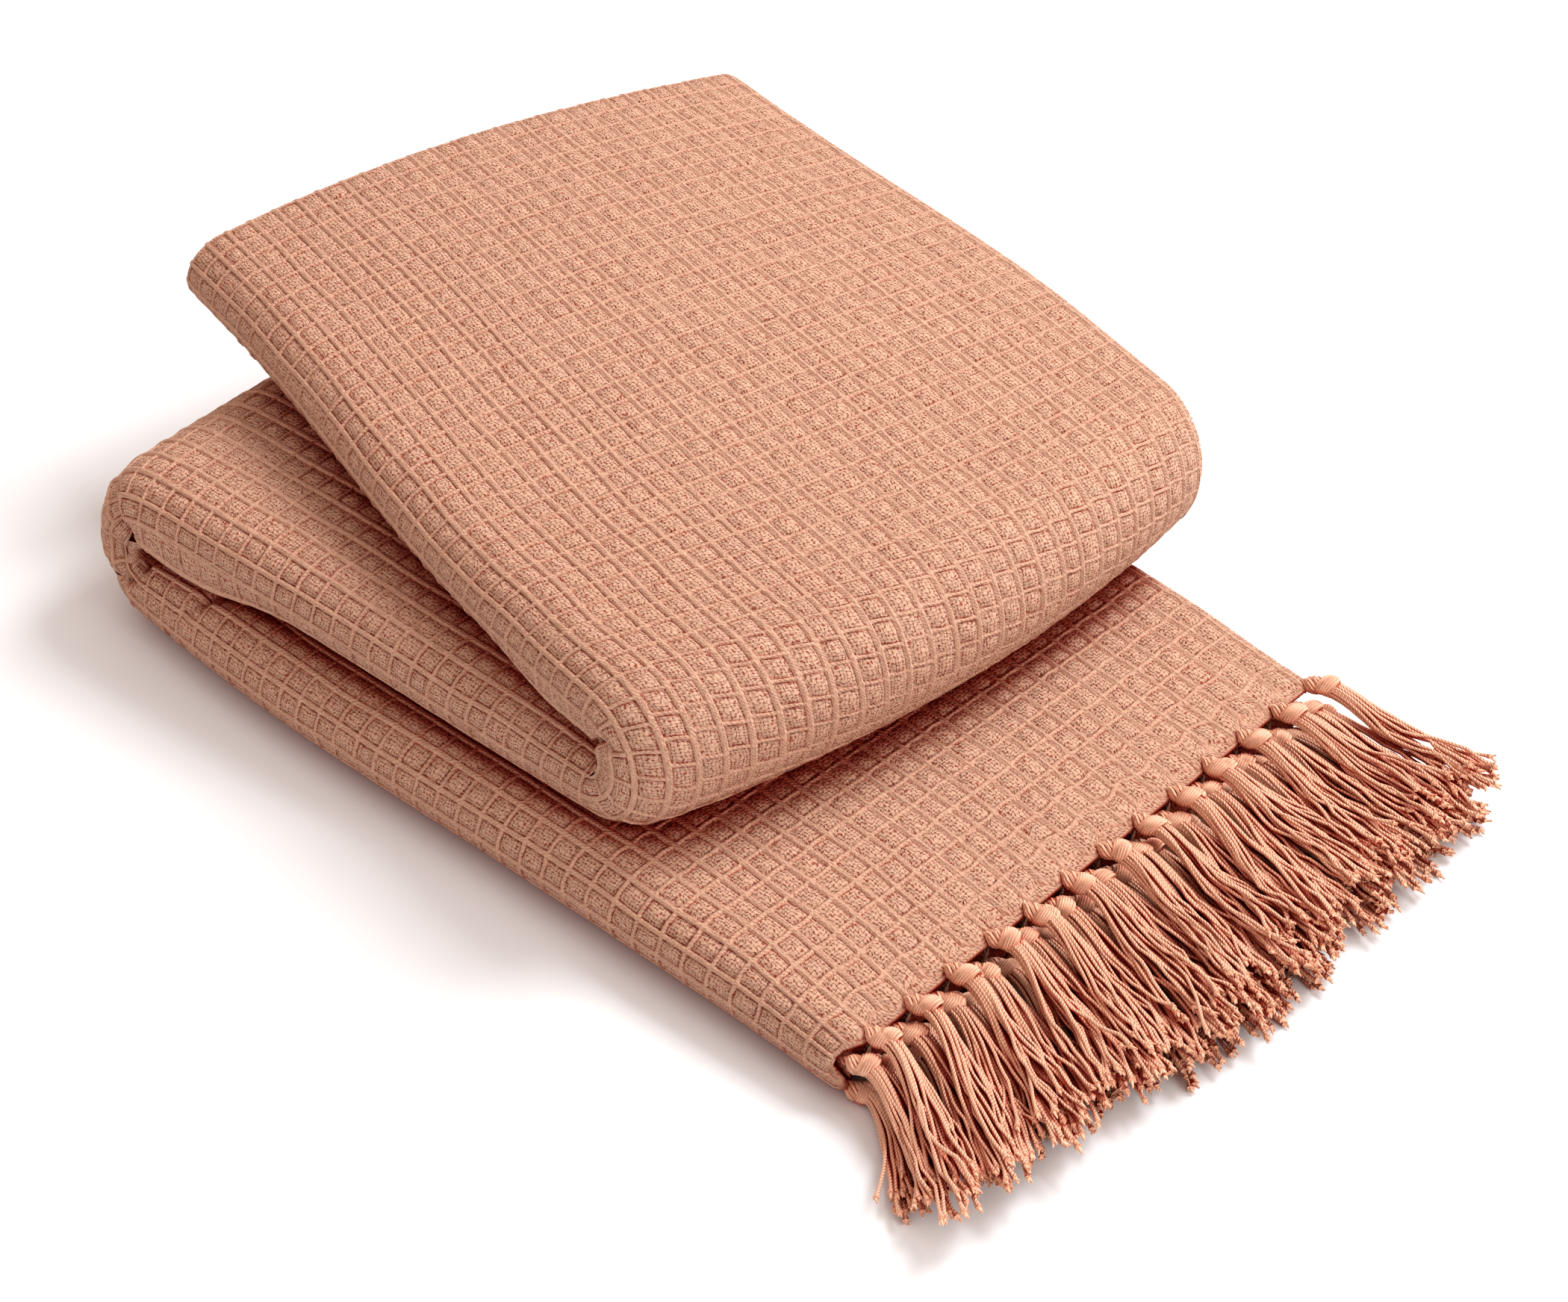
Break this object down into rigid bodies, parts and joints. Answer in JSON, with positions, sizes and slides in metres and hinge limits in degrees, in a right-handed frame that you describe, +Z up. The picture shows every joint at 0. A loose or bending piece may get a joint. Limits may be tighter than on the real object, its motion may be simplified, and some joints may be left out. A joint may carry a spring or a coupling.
{
  "type": "waffle weave cotton blanket",
  "caption": "Folded waffle weave cotton throw with knotted fringe, laid back and forth in a soft stack.",
  "frame": {"origin": "middle of the bottom run's underside, on the surface that the folded blanket lies on", "axes": "+X along the strip towards the fringe, +Y across the strip, +Z up"},
  "size_m": [0.6132, 0.432, 0.1309],
  "materials": {
    "waffle_cotton": "apricot cotton waffle weave, matt and soft",
    "fringe_yarn": "plied apricot cotton yarn, matt"
  },
  "bodies": {
    "root": {"blanket": "waffle_cotton", "fringe_row_1": "fringe_yarn", "fringe_row_2": "fringe_yarn", "fringe_row_3": "fringe_yarn", "fringe_row_4": "fringe_yarn"}
  },
  "joints": []
}
